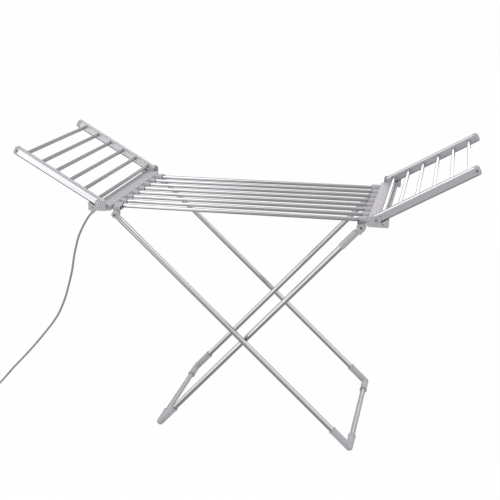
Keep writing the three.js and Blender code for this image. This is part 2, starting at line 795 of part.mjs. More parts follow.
// Follows the coil: a flat spiral in, a climb to the upper layer over the half turn where it reverses,
// and a spiral out.
class CoilPath extends THREE.Curve {
  constructor(start, length) {
    super();
    this.arcLengthDivisions = 800;
    this.leadIn = 2 * cordRadius;
    this.turn = 2 * Math.PI;
    this.lastAngle = coilTurns * this.turn;
    this.reverseAngle = this.lastAngle / 2 + this.turn / 4;
    const inward = this.reverseAngle ** 2 / 2;
    const outward = (this.lastAngle - this.reverseAngle) ** 2 / 2;
    const spread = (coilPitch * (inward + outward)) / this.turn;
    this.innerRadius = (length - this.leadIn - coilTail - spread) / this.lastAngle;
    this.centre = at(start.x - this.leadIn, start.y + this.radiusAt(0), start.z);
    this.length = length;
  }

  radiusAt(angle) {
    return this.innerRadius + (coilPitch * Math.abs(angle - this.reverseAngle)) / this.turn;
  }

  onSpiral(angle) {
    const quarter = this.turn / 4;
    const { smoothstep } = THREE.MathUtils;
    const climb = smoothstep(angle, this.reverseAngle - quarter, this.reverseAngle + quarter);
    const radius = this.radiusAt(angle);
    const x = -radius * Math.sin(angle);
    const y = -radius * Math.cos(angle);
    return at(x, y, climb * coilLayer).add(this.centre);
  }

  getPoint(share) {
    const distance = share * this.length;
    if (distance < this.leadIn) return this.onSpiral(0).add(at(this.leadIn - distance, 0, 0));
    const tailStart = this.length - coilTail;
    if (distance > tailStart) return this.onSpiral(this.lastAngle).sub(at(distance - tailStart, 0, 0));
    return this.onSpiral((this.lastAngle * (distance - this.leadIn)) / (tailStart - this.leadIn));
  }
}

// The least gap between stretches of the coil that aren't neighbours along it.
function leastGap(path) {
  const steps = 480;
  const points = path.getSpacedPoints(steps);
  const skip = Math.ceil((10 * cordRadius * steps) / path.length);
  let least = Infinity;
  for (let i = 0; i < points.length; i += 1) {
    for (let j = i + skip; j < points.length; j += 1) {
      least = Math.min(least, points[i].distanceTo(points[j]));
    }
  }
  return least - 2 * cordRadius;
}

// Sweeps the lead's round section along a path.
function cordAlong(extrudePath, segments, steps) {
  const corners = [];
  for (let index = 0; index < segments; index += 1) {
    const angle = (index * 2 * Math.PI) / segments;
    corners.push(new THREE.Vector2(cordRadius, 0).rotateAround(new THREE.Vector2(), angle));
  }
  return new THREE.ExtrudeGeometry(new THREE.Shape(corners), { steps, extrudePath });
}

const leadLength = leadRoute.getLength();
const coilStart = leadRoute.getPoint(1).add(at(-runningGap, 0, 0));
const coilPath = new CoilPath(coilStart, cordLength - leadLength);
console.log(`hanging lead ${leadLength.toFixed(0)} mm`);
console.log(`coil inner radius ${coilPath.innerRadius.toFixed(1)} mm`);
console.log(`least gap of the coil to itself ${leastGap(coilPath).toFixed(2)} mm`);

add(airer, 'mains_lead', cordAlong(leadRoute, cordSides, cordSteps), leadGrey);
const coilSteps = coilTurns * coilTurnSteps + Math.ceil(coilTail / (4 * cordRadius));
add(airer, 'mains_lead_coil', cordAlong(coilPath, coilSides, coilSteps), leadGrey);

function plug() {
  const entry = coilPath.getPoint(1).add(at(-runningGap, 0, 0));
  const bootEnd = entry.clone().add(at(-plugBoot, 0, 0));
  const middleX = bootEnd.x - plugDepth / 2;
  const halfDepth = plugDepth / 2 - plugEdge;
  const halfWidth = plugWidth / 2 - plugEdge;
  const face = outline([
    [-halfDepth, -halfWidth, plugRound],
    [halfDepth, -halfWidth + plugEdge, plugRound],
    [halfDepth, halfWidth - plugEdge, plugRound],
    [-halfDepth, halfWidth, plugRound],
  ]);
  const body = new THREE.ExtrudeGeometry(face, {
    depth: plugThick - 2 * plugEdge,
    bevelThickness: plugEdge,
    bevelSize: plugEdge,
    bevelSegments: 2,
  }).translate(middleX, entry.y, plugEdge);
  const pinUp = (pin, y) => block(
    at(middleX + pin.offset - pin.width / 2, y - pin.depth / 2, plugThick - plugEdge),
    at(middleX + pin.offset + pin.width / 2, y + pin.depth / 2, plugThick + pin.length),
  );
  const earth = { ...earthPin, width: earthPin.depth, depth: earthPin.width };
  return carve([
    body,
    rod(entry, bootEnd.clone().add(at(-plugEdge, 0, 0)), plugBootMouth, 12, plugBootRadius),
    pinUp(earth, entry.y),
    pinUp({ ...linePin, width: linePin.depth, depth: linePin.width }, entry.y - linePin.spacing / 2),
    pinUp({ ...linePin, width: linePin.depth, depth: linePin.width }, entry.y + linePin.spacing / 2),
  ]);
}

add(airer, 'mains_plug', plug(), leadGrey);

export default airer;
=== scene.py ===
"""The looks of the heated clothes airer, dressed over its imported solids. Metres, +Z up."""
import json
import math

import bmesh
import bpy
from mathutils import Matrix, Vector


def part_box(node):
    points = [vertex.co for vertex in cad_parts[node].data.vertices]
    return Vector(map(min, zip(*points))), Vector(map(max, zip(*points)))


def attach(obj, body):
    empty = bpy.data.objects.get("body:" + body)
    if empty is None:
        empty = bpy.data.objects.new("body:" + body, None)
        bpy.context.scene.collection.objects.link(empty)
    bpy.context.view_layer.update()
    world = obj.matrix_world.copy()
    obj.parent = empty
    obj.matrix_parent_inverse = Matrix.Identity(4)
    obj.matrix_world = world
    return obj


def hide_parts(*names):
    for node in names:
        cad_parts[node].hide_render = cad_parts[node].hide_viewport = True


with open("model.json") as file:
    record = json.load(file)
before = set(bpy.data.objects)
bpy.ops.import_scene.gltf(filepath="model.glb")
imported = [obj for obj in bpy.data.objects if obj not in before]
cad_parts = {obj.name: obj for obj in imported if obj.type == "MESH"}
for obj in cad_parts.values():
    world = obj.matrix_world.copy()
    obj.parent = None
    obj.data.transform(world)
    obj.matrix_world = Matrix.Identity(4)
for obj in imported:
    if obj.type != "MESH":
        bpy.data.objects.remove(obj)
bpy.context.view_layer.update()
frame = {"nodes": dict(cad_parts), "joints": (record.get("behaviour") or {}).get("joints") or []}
nodes = frame["nodes"]
bpy.ops.object.select_all(action="DESELECT")

SIDES = {"left": -1, "right": 1}
ENDS = {"front": -1, "rear": 1}
OUT = {end: Vector((0, sign, 0)) for end, sign in ENDS.items()}

# Camera
camera_place = Vector((0.65256, -2.93169, 1.53114))
camera_look = Vector((-0.2507308, 0.919811, -0.3017975))
camera_up = Vector((-0.0673123, 0.2944361, 0.9532977))
camera_sensor = 36
camera_lens = 66.0547
camera_shift = 0.08

camera = bpy.data.objects.new("camera", bpy.data.cameras.new("camera"))
bpy.context.scene.collection.objects.link(camera)
camera_right = camera_look.cross(camera_up)
camera.matrix_world = Matrix.Translation(camera_place) @ Matrix(
    (camera_right, camera_up, -camera_look)
).transposed().to_4x4()
camera.data.sensor_width = camera_sensor
camera.data.lens = camera_lens
camera.data.shift_x = camera_shift
bpy.context.scene.camera = camera


# Shader maths
class Value:
    """A socket of a shader tree that adds, multiplies and divides as a number does."""

    def __init__(self, graph, socket):
        self.graph = graph
        self.socket = socket

    def maths(self, operation, *others):
        return self.graph.node("Math", {"operation": operation}, [self, *others])

    def __add__(self, other):
        return self.maths("ADD", other)

    def __sub__(self, other):
        return self.maths("SUBTRACT", other)

    def __mul__(self, other):
        return self.maths("MULTIPLY", other)

    def __truediv__(self, other):
        return self.maths("DIVIDE", other)

    def __rsub__(self, other):
        return self.graph.node("Math", {"operation": "SUBTRACT"}, [other, self])

    __radd__ = __add__
    __rmul__ = __mul__


class Graph:
    """A shader tree that is written as expressions."""

    def __init__(self, tree):
        self.tree = tree
        tree.nodes.clear()

    def node(self, kind, settings, sockets, output=0):
        made = self.tree.nodes.new("ShaderNode" + kind)
        for name, value in settings.items():
            setattr(made, name, value)
        pairs = sockets.items() if isinstance(sockets, dict) else enumerate(sockets)
        for key, value in pairs:
            if isinstance(value, Value):
                self.tree.links.new(value.socket, made.inputs[key])
            else:
                made.inputs[key].default_value = value
        return Value(self, made.outputs[output]) if made.outputs else None

    def mix(self, share, low, high):
        return self.node("MixRGB", {}, [share, low, high])

    def noise(self, place, scale, detail):
        sockets = {"Vector": place, "Scale": scale, "Detail": detail}
        return self.node("TexNoise", {}, sockets)

    def stretched(self, place, scale):
        return self.node("Mapping", {}, {"Vector": place, "Scale": scale})

    def between(self, value, low, high):
        """From 0 at low to 1 at high, and smooth between them."""
        sockets = {"Value": value, "From Min": low, "From Max": high}
        return self.node("MapRange", {"interpolation_type": "SMOOTHSTEP"}, sockets)


class Finish(Graph):
    """A material with one Principled shader."""

    def __init__(self, name, metallic=0.0):
        self.material = bpy.data.materials.new(name)
        self.material.use_nodes = True
        super().__init__(self.material.node_tree)
        self.place = self.node("TexCoord", {}, {}, "Object")
        self.along = self.node("TexCoord", {}, {}, "UV")
        self.metallic = metallic

    def bump(self, height, depth):
        return self.node("Bump", {}, {"Height": height, "Distance": depth, "Strength": 1.0})

    def varied(self, share, level, spread, lilac=0.0):
        """A grey that runs from darker to lighter than its level by the spread."""
        return self.mix(share, shade(level * (1 - spread), lilac), shade(level * (1 + spread), lilac))

    def done(self, **sockets):
        named = {name.replace("_", " "): value for name, value in sockets.items()}
        shader = self.node("BsdfPrincipled", {}, {"Metallic": self.metallic, **named})
        self.node("OutputMaterial", {}, {"Surface": shader})
        return self.material


lilac_red_share, lilac_green_share = 0.4, 0.5


def shade(level, lilac=0.0):
    """A grey of that level, which leans to lilac by that share."""
    red = level * (1 + lilac * lilac_red_share)
    green = level * (1 - lilac * lilac_green_share)
    return red, green, level * (1 + lilac), 1


# Modelling: corners closer than touching are merged, and places closer than same_place are the same
touching = 0.00001
same_place = 0.000001
same_digits = 6
flat_angle = math.radians(1)
smooth_angle = math.radians(35)
sharp_angle = math.radians(40)
edge_steps = 2
thin_edge = 0.0006
thick_edge = 0.0008
turned_edge = 0.0004


def pick(piece, mode, wanted):
    """Selects just the edges or faces of the piece in edit mode that the test wants."""
    bpy.ops.mesh.select_mode(type=mode)
    bpy.ops.mesh.select_all(action="DESELECT")
    mesh = bmesh.from_edit_mesh(piece.data)
    for element in mesh.edges if mode == "EDGE" else mesh.faces:
        if wanted(element):
            element.select_set(True)
    bmesh.update_edit_mesh(piece.data)


def edit(piece):
    bpy.context.view_layer.objects.active = piece
    bpy.ops.object.mode_set(mode="EDIT")


def leave():
    bpy.ops.object.mode_set(mode="OBJECT")


def bevel(width, steps):
    bpy.ops.mesh.bevel(offset=width, segments=steps, affect="EDGES")


def extrude(height):
    bpy.ops.mesh.extrude_region_move(TRANSFORM_OT_translate={"value": (0, 0, height)})


def apply_place(piece):
    bpy.ops.object.select_all(action="DESELECT")
    piece.select_set(True)
    bpy.context.view_layer.objects.active = piece
    bpy.ops.object.transform_apply(location=True, rotation=True, scale=True)


def place(piece, matrix):
    piece.matrix_world = matrix
    apply_place(piece)


def stand(piece, start, end):
    """Turns a shape made up +Z from the origin onto the line from start to end."""
    turn = (end - start).to_track_quat("Z", "Y").to_matrix().to_4x4()
    place(piece, Matrix.Translation(start) @ turn)
    return piece


def copy_of(piece):
    """A copy with its own mesh."""
    twin = piece.copy()
    twin.data = piece.data.copy()
    bpy.context.scene.collection.objects.link(twin)
    return twin


patterns = {}


def repeated(make, *sizes):
    """A copy of the shape of those sizes, which is modelled the first time it is asked for."""
    key = (make.__name__, *(round(size, same_digits) for size in sizes))
    if key not in patterns:
        patterns[key] = make(*sizes)
    return copy_of(patterns[key])


def clear_patterns():
    for pattern in patterns.values():
        bpy.data.objects.remove(pattern)


def apply_modifier(piece, kind, **settings):
    modifier = piece.modifiers.new(kind.lower(), kind)
    for name, value in settings.items():
        setattr(modifier, name, value)
    bpy.context.view_layer.objects.active = piece
    bpy.ops.object.modifier_apply(modifier=modifier.name)


def cut_away(piece, cutter):
    apply_modifier(piece, "BOOLEAN", operation="DIFFERENCE", solver="EXACT", object=cutter)
    bpy.data.objects.remove(cutter)


def unite(piece, other):
    apply_modifier(piece, "BOOLEAN", operation="UNION", solver="EXACT", object=other)
    bpy.data.objects.remove(other)


def round_edges(piece, width, steps=edge_steps):
    apply_modifier(
        piece,
        "BEVEL",
        width=width,
        segments=steps,
        limit_method="ANGLE",
        angle_limit=sharp_angle,
        use_clamp_overlap=False,
        harden_normals=False,
    )


def dress(piece, name, body, material, stands_for=()):
    """Names and finishes a piece, and hangs it on its body."""
    piece.name = name
    piece.data.name = name
    apply_place(piece)
    bpy.ops.object.shade_smooth_by_angle(angle=smooth_angle)
    apply_modifier(piece, "WEIGHTED_NORMAL", keep_sharp=True)
    piece.data.materials.clear()
    piece.data.materials.append(material)
    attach(piece, body)
    if stands_for:
        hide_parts(*stands_for)
    bpy.ops.object.select_all(action="DESELECT")
    return piece


def dress_moulding(piece, node, body):
    """Dresses the grey moulding that stands for one solid."""
    dress(piece, f"{node}_moulding", body, plastic, [node])


def block(low, high):
    """A box between two corners."""
    bpy.ops.mesh.primitive_cube_add(size=1)
    piece = bpy.context.object
    piece.scale = high - low
    piece.location = (low + high) / 2
    apply_place(piece)
    return piece


def rod(sides, radius, length):
    """A round rod up +Z from the origin."""
    bpy.ops.mesh.primitive_cylinder_add(
        vertices=sides, radius=radius, depth=length, location=(0, 0, length / 2)
    )
    piece = bpy.context.object
    apply_place(piece)
    return piece


def end_face(face):
    """Whether a face of a rod has more corners than the four of its sides."""
    return len(face.verts) > 4


def lengthwise(piece, length):
    """Lays the UV map of a shape made up +Z in metres: round its axis, and along it."""
    layer = piece.data.uv_layers.active or piece.data.uv_layers.new(name="UVMap")
    for loop in piece.data.loops:
        spot = piece.data.vertices[loop.vertex_index].co
        layer.data[loop.index].uv = (math.atan2(spot.y, spot.x) * spot.xy.length, spot.z + length)


def moulding(node, edge):
    """A copy of a solid with its seams merged and its edges rounded as a mould leaves them."""
    piece = copy_of(nodes[node])
    piece.parent = None
    for key in list(piece.keys()):
        del piece[key]
    edit(piece)
    bpy.ops.mesh.select_all(action="SELECT")
    bpy.ops.mesh.remove_doubles(threshold=touching)
    bpy.ops.mesh.dissolve_limited(angle_limit=flat_angle)
    leave()
    round_edges(piece, edge)
    return piece


def middle(node):
    low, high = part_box(node)
    return (low + high) / 2


def reach(node, start, along):
    """How far along a line from start the node begins and ends."""
    distances = [(vertex.co - start).dot(along) for vertex in nodes[node].data.vertices]
    return min(distances), max(distances)


def on_face(node, end, x, z):
    """The spot at x and z on the node's outermost face at that end."""
    return OUT[end] * reach(node, Vector(), OUT[end])[1] + Vector((x, 0, z))


# Tubes
tube_sides = 40
tube_wall = 0.0011
tube_deburr = 0.000275
bore_taper = 0.000055
bore_shown = 0.012
along_x, along_y = 0, 1


def tube_shape(length, radius):
    """A drawn tube up +Z with open, deburred ends."""
    piece = rod(tube_sides, radius, length)
    edit(piece)
    pick(piece, "FACE", end_face)
    bpy.ops.mesh.inset(thickness=tube_wall)
    bpy.ops.mesh.inset(thickness=bore_taper, depth=-bore_shown)
    leave()
    edit(piece)
    ends = {0, round(length, same_digits)}
    pick(piece, "EDGE", lambda edge: len({round(v.co.z, same_digits) for v in edge.verts} & ends) == 1)
    bevel(tube_deburr, edge_steps)
    leave()
    lengthwise(piece, length)
    return piece


def tube(start, end, radius):
    return stand(repeated(tube_shape, (end - start).length, radius), start, end)


def level_tube(node, way):
    """The tube along x or y that fills the node's box, and its radius."""
    low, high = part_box(node)
    start, end = middle(node), middle(node)
    start[way], end[way] = low[way], high[way]
    radius = (high.z - low.z) / 2
    return tube(start, end, radius), radius


# Elbows
elbow_sides = 40
elbow_radius = 0.012
elbow_bead = 0.005
elbow_bead_proud = 0.001
elbow_bore_gap = 0.00015
elbow_stop = 0.021
elbow_mouth_round = 0.0008
elbow_mouth_steps = 3
facing_up_share = 0.9
corner_angle = 1


def sleeve(corner, way, length, tube_radius):
    """One arm of an elbow: a bored sleeve that ends in a bead."""
    piece = rod(elbow_sides, elbow_radius, length - elbow_bead)
    edit(piece)
    pick(piece, "FACE", lambda face: face.normal.z > facing_up_share)
    bpy.ops.mesh.extrude_region_move()
    swell = 1 + elbow_bead_proud / elbow_radius
    bpy.ops.transform.resize(value=(swell, swell, 1))
    extrude(elbow_bead)
    bore = tube_radius + elbow_bore_gap
    bpy.ops.mesh.inset(thickness=elbow_radius + elbow_bead_proud - bore)
    extrude(elbow_stop - length)

    def mouth_corner(edge):
        at_mouth = all(v.co.z > length - touching for v in edge.verts)
        return at_mouth and len(edge.link_faces) == 2 and edge.calc_face_angle(0) > corner_angle

    pick(piece, "EDGE", mouth_corner)
    bevel(elbow_mouth_round, elbow_mouth_steps)
    leave()
    return stand(piece, corner, corner + way * length)


def elbow_moulding(node, corner, leg_way, foot_way, tube_radius):
    """Two sleeves that meet in a ball, flat where it stands on the floor."""
    bpy.ops.mesh.primitive_uv_sphere_add(
        segments=elbow_sides, ring_count=elbow_sides // 2, radius=elbow_radius, location=corner
    )
    piece = bpy.context.object
    apply_place(piece)
    for way in (leg_way, foot_way):
        unite(piece, sleeve(corner, way, reach(node, corner, way)[1], tube_radius))
    edit(piece)
    bpy.ops.mesh.select_all(action="SELECT")
    bpy.ops.mesh.bisect(plane_co=(0, 0, 0), plane_no=(0, 0, 1), use_fill=True, clear_inner=True)
    bpy.ops.mesh.select_all(action="SELECT")
    bpy.ops.mesh.remove_doubles(threshold=touching)
    leave()
    return piece


# Screws
screw_sides = 28
screw_deep = 0.0014
screw_round_share = 0.45
screw_round_steps = 3
cross_long_share, cross_wide_share = 0.62, 0.17
cross_floor_share = 0.3
screw_under = 0.0001
screw_gap = 0.00015
seat_sides = 36


def screw_shape(radius, proud):
    """A cross-headed screw from its seat up +Z."""
    piece = rod(screw_sides, radius, proud)
    edit(piece)
    pick(piece, "EDGE", lambda edge: all(v.co.z > proud / 2 for v in edge.verts))
    bevel(proud * screw_round_share, screw_round_steps)
    leave()
    long, wide = radius * cross_long_share, radius * cross_wide_share
    floor = Vector((0, 0, proud * cross_floor_share))
    for half in (Vector((long, wide, 0)), Vector((wide, long, 0))):
        cut_away(piece, block(floor - half, floor + half + Vector((0, 0, proud))))
    return piece


def screw(name, body, face, end, radius):
    """A screw whose head faces out at that end, sunk to just under the face."""
    piece = repeated(screw_shape, radius, screw_deep)
    stand(piece, face - OUT[end] * (screw_deep + screw_under), face)
    # The near-black head also paints the shade of the screw's recess
    dress(piece, name, body, dark_steel_and_painted_shade)


def counterbore(piece, face, end, radius):
    """Cuts the round seat of a screw."""
    depth = screw_deep + 2 * screw_under
    bpy.ops.mesh.primitive_cylinder_add(vertices=seat_sides, radius=radius + screw_gap, depth=2 * depth)
    cutter = bpy.context.object
    apply_place(cutter)
    stand(cutter, face, face + OUT[end])
    cut_away(piece, cutter)


# Rubber seals and pads: real rubber parts whose near-black also paints the shade in the gaps at the bar
# collars and beside the hangers
seal_thick = 0.0018
seal_wide = 0.0011
seal_gap = 0.0001
seal_lip = 0.00045
pad_wide, pad_tall = 0.016, 0.011
pad_thick = 0.002
pad_round = pad_thick / 3
pad_round_steps = 3
pad_sunk = 0.0005
pad_gap = 0.0002


def seal_shape(bar_radius):
    """A rubber ring up +Z, with a rounded lip."""
    piece = rod(tube_sides, bar_radius + seal_gap + seal_wide, seal_thick)
    edit(piece)
    pick(piece, "FACE", end_face)
    bpy.ops.mesh.inset(thickness=seal_wide)
    bpy.ops.mesh.delete(type="FACE")
    pick(piece, "EDGE", lambda edge: edge.is_boundary)
    bpy.ops.mesh.bridge_edge_loops()

    def at_lip(edge):
        return all(v.co.z > seal_thick / 2 and v.co.xy.length > bar_radius + seal_wide for v in edge.verts)

    pick(piece, "EDGE", at_lip)
    bevel(seal_lip, edge_steps)
    bpy.ops.mesh.select_all(action="SELECT")
    bpy.ops.mesh.normals_make_consistent(inside=False)
    leave()
    return piece


def pad_shape(wide, tall):
    """A rubber pad up +Z, rounded round its face."""
    half = Vector((wide / 2, tall / 2, 0))
    piece = block(-half, half + Vector((0, 0, pad_thick)))
    round_edges(piece, pad_round, pad_round_steps)
    return piece


# Finishes: scales are per metre, and a spread is how far a grey runs to either side
streak_scale, streak_detail = (1400, 9, 1), 4.0
streak_spread = 0.05
streak_rough = 0.04
drawn_cloud_scale, drawn_cloud_detail = 22.0, 3.0
drawn_cloud_rough = 0.06
drawn_cloud_height = 0.3
drawn_depth = 0.000015
drawn_lilac = 0.03
turned_cloud_scale, turned_cloud_detail = 300.0, 3.0
turned_spread = 0.15
turned_rough, turned_cloud_rough = 0.28, 0.2
grain_scale, grain_detail = 2600.0, 2.0
grain_depth = 0.00004
moulded_cloud_scale, moulded_cloud_detail = 35.0, 4.0
moulded_spread = 0.04
moulded_rough, moulded_cloud_rough = 0.42, 0.12
sheath_grain_scale, sheath_grain_detail = 1500.0, 2.0
sheath_depth = 0.00003
sheath_cloud_scale, sheath_cloud_detail = 18.0, 3.0
sheath_dark, sheath_light = 0.26, 0.31
sheath_lilac = 0.02
sheath_rough, sheath_cloud_rough = 0.45, 0.1


def drawn_aluminium(name, level, roughness):
    finish = Finish(name, metallic=1.0)
    streaks = finish.noise(finish.stretched(finish.along, streak_scale), 1.0, streak_detail)
    clouds = finish.noise(finish.place, drawn_cloud_scale, drawn_cloud_detail)
    colour = finish.varied(streaks, level, streak_spread, drawn_lilac)
    roughness = roughness + drawn_cloud_rough * clouds + streak_rough * streaks
    height = streaks + drawn_cloud_height * clouds
    return finish.done(Base_Color=colour, Roughness=roughness, Normal=finish.bump(height, drawn_depth))


def turned_steel(name, level):
    finish = Finish(name, metallic=1.0)
    clouds = finish.noise(finish.place, turned_cloud_scale, turned_cloud_detail)
    colour = finish.varied(clouds, level, turned_spread)
    return finish.done(Base_Color=colour, Roughness=turned_rough + turned_cloud_rough * clouds)


def moulded_plastic(name, level, lilac):
    finish = Finish(name)
    grain = finish.noise(finish.place, grain_scale, grain_detail)
    clouds = finish.noise(finish.place, moulded_cloud_scale, moulded_cloud_detail)
    colour = finish.varied(clouds, level, moulded_spread, lilac)
    roughness = moulded_rough + moulded_cloud_rough * clouds
    return finish.done(Base_Color=colour, Roughness=roughness, Normal=finish.bump(grain, grain_depth))


def cord_sheath():
    finish = Finish("cord_sheath")
    grain = finish.noise(finish.place, sheath_grain_scale, sheath_grain_detail)
    clouds = finish.noise(finish.place, sheath_cloud_scale, sheath_cloud_detail)
    colour = finish.mix(clouds, shade(sheath_dark, sheath_lilac), shade(sheath_light, sheath_lilac))
    roughness = sheath_rough + sheath_cloud_rough * clouds
    return finish.done(Base_Color=colour, Roughness=roughness, Normal=finish.bump(grain, sheath_depth))


aluminium = drawn_aluminium("drawn_aluminium", level=0.42, roughness=0.06)
rail_aluminium = {
    "front": drawn_aluminium("extruded_aluminium", level=0.45, roughness=0.28),
    "rear": drawn_aluminium("matt_extruded_aluminium", level=0.45, roughness=0.42),
}
# The foot tubes are the legs' drawn aluminium made lighter, which paints the bright reflection along them
foot_aluminium_painted_highlight = drawn_aluminium("foot_aluminium_with_painted_highlight", level=0.66, roughness=0.20)
steel = turned_steel("turned_steel", level=0.50)
# Near-black steel for the screw heads, which also paints the shade of their recesses
dark_steel_and_painted_shade = turned_steel("blackened_steel_and_painted_shade", level=0.07)
plastic = moulded_plastic("grey_moulding", level=0.46, lilac=0.04)
plug_plastic = moulded_plastic("plug_moulding", level=0.36, lilac=0.03)
# Near-black rubber for the seals and pads, which also paints the shade in the gaps at the bar collars and
# beside the hangers
rubber_and_painted_shade = moulded_plastic("black_rubber_and_painted_shade", level=0.03, lilac=0.0)
sheath = cord_sheath()

# Mains lead: it hangs from the gland to the floor, and ends in a coil
cord_radius = 0.0035
cord_length = 1.8
cord_round_steps = 5
cord_curve_steps = 8
length_steps = 12
running_gap = 0.0003
coil_turns = 3
coil_pitch = 0.008
coil_layer = 0.0077
coil_steps = 24
coil_tail = 0.034
gland_lean = math.radians(42)
gland_length = 0.02
gland_root = Vector((-0.461, -0.26, 0.765))
gland_way = Vector((-math.sin(gland_lean), 0, -math.cos(gland_lean)))
floor_lay = 0.0039
# Each is (how far out of the gland, how far in front, share of the gland's height)
hang_shares = [
    (0.02, 0.002, 0.962),
    (0.035, 0.004, 0.925),
    (0.047, 0.005, 0.889),
    (0.056, 0.005, 0.85),
    (0.064, 0.005, 0.811),
    (0.071, 0.005, 0.765),
    (0.077, 0.005, 0.728),
    (0.085, 0.005, 0.69),
    (0.094, 0.005, 0.651),
    (0.104, 0.005, 0.611),
    (0.116, 0.005, 0.572),
    (0.131, 0.005, 0.53),
    (0.155, 0.005, 0.48),
    (0.19, 0.005, 0.421),
    (0.232, 0.005, 0.354),
    (0.277, 0.005, 0.288),
    (0.322, 0.005, 0.224),
    (0.37, 0.005, 0.151),
    (0.416, 0.007, 0.09),
    (0.459, 0.009, 0.041),
    (0.494, 0.01, 0.012),
    (0.526, 0.01, 0),
    (0.556, 0.01, 0),
]


def eased(share):
    """From 0 at 0 to 1 at 1, and level at both."""
    return share * share * (3 - 2 * share)


def coil_points(start, length):
    """The flat double spiral in, up and out again, and its straight tail."""
    lead_in = 2 * cord_radius
    last = coil_turns * math.tau
    back = last / 2 + math.tau / 4
    spread = coil_pitch * (back**2 + (last - back) ** 2) / 2 / math.tau
    inner = (length - lead_in - coil_tail - spread) / last
    first_radius = inner + coil_pitch * back / math.tau
    centre = start + Vector((-lead_in, first_radius, 0))
    points = [start]
    for step in range(coil_turns * coil_steps + 1):
        angle = step * math.tau / coil_steps
        rise = (angle - back + math.tau / 4) / (math.tau / 2)
        climb = eased(min(max(rise, 0), 1))
        radius = inner + coil_pitch * abs(angle - back) / math.tau
        spot = Vector((-radius * math.sin(angle), -radius * math.cos(angle), climb * coil_layer))
        points.append(centre + spot)
    return points + [points[-1] + Vector((-coil_tail, 0, 0))]


def hanging_points(start):
    """Out of the gland, down, and along the floor."""
    points = [start, start + gland_way * 2 * cord_radius]
    for out, front, share in hang_shares:
        height = floor_lay + (start.z - floor_lay) * share
        points.append(Vector((start.x - out, start.y - front, height)))
    return points


def smooth_length(points):
    """The length of the smooth curve through the points."""
    total = 0
    for index in range(len(points) - 1):
        before = points[max(index - 1, 0)]
        first, last = points[index], points[index + 1]
        after = points[min(index + 2, len(points) - 1)]
        into = (last - before) / 2
        away = (after - first) / 2
        spot = first
        for step in range(1, length_steps + 1):
            share = step / length_steps
            turn = eased(share)
            push = share * (1 - share) ** 2
            pull = share * share * (share - 1)
            following = first * (1 - turn) + last * turn + into * push + away * pull
            total += (following - spot).length
            spot = following
    return total


lead_start = gland_root + gland_way * (gland_length + running_gap)
hang = hanging_points(lead_start)
coil = coil_points(hang[-1] + Vector((-running_gap, 0, 0)), cord_length - smooth_length(hang))
route = hang + coil[1:]
cord_curve = bpy.data.curves.new("mains_lead_cord", "CURVE")
cord_curve.dimensions = "3D"
cord_curve.bevel_depth = cord_radius
cord_curve.bevel_resolution = cord_round_steps
cord_curve.resolution_u = cord_curve_steps
cord_curve.use_fill_caps = True
spline = cord_curve.splines.new("BEZIER")
spline.bezier_points.add(len(route) - 1)
for point, spot in zip(spline.bezier_points, route):
    point.co = spot
    point.handle_left_type = point.handle_right_type = "AUTO"
for point in spline.bezier_points:
    point.handle_left_type = point.handle_right_type = "FREE"
    for handle in (point.handle_left, point.handle_right):
        handle.z = max(handle.z, floor_lay)
cord_curve.materials.append(sheath)
cord = bpy.data.objects.new("mains_lead_cord", cord_curve)
bpy.context.scene.collection.objects.link(cord)
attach(cord, "centre_frame")
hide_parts("mains_lead", "mains_lead_coil")

# Plug and gland
node = "mains_plug"
plug = dress(moulding(node, thin_edge), f"{node}_moulding", "centre_frame", plug_plastic, [node])
node = "cord_gland"
dress_moulding(moulding(node, thin_edge), node, "centre_frame")

# Heated bars of the centre frame
bar_count = 8
outermost_holders = {1: "right_front_leg_hanger", bar_count: "right_rear_leg_hanger"}
for index in range(1, bar_count + 1):
    node = f"centre_bar_{index}"
    axis = middle(node)
    bar, bar_radius = level_tube(node, along_x)
    dress(bar, f"{node}_tube", "centre_frame", aluminium, [node])
    # Each bar's mouth gets a near-black rubber ring, which also paints the shade of the gap where the bar
    # enters its collar
    holder = outermost_holders.get(index, "right_beam")
    for side, sign in SIDES.items():
        mouth = Vector((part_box(holder)[0].x * sign, axis.y, axis.z))
        seal = stand(repeated(seal_shape, bar_radius), mouth, mouth - Vector((sign, 0, 0)))
        dress(seal, f"{node}_{side}_seal", "centre_frame", rubber_and_painted_shade)

# Wings
wing_bar_count = 6
for side in SIDES:
    for index in range(1, wing_bar_count + 1):
        node = f"{side}_wing_bar_{index}"
        bar, bar_radius = level_tube(node, along_y)
        dress(bar, f"{node}_tube", f"{side}_wing", aluminium, [node])

joints = {joint["name"]: joint for joint in frame["joints"]}
rail_thick = 0.016
rail_tall = 0.030
rail_round = 0.0066
rail_round_steps = 6
rail_flat = 0.0001
rail_end_steps = 10
cap_screw_inset = 0.010
cap_screw_radius = 0.0026


def wing_line(side):
    """Where the wing is hinged, and which way it runs."""
    hinge = Vector(joints[f"{side}_wing_hinge"]["pos_m"])
    first, last = (middle(f"{side}_wing_bar_{index}") for index in (1, wing_bar_count))
    return hinge, (last - first).normalized()


def rail_shape(length):
    """A rail up +Z, half round at its hinge end and rounded along its sides."""
    half = Vector((rail_tall / 2, rail_thick / 2, 0))
    piece = block(-half, half + Vector((0, 0, length)))

    def through_width(edge):
        return abs(edge.verts[0].co.y - edge.verts[1].co.y) > same_place

    def at_hinge(edge):
        return through_width(edge) and all(v.co.z < same_place for v in edge.verts)

    def along_side(edge):
        at_tip = all(v.co.z > length - same_place for v in edge.verts)
        return not through_width(edge) and not at_tip

    edit(piece)
    pick(piece, "EDGE", at_hinge)
    bevel(rail_tall / 2 - rail_flat, rail_end_steps)
    pick(piece, "EDGE", along_side)
    bevel(rail_round, rail_round_steps)
    leave()
    lengthwise(piece, length)
    return piece


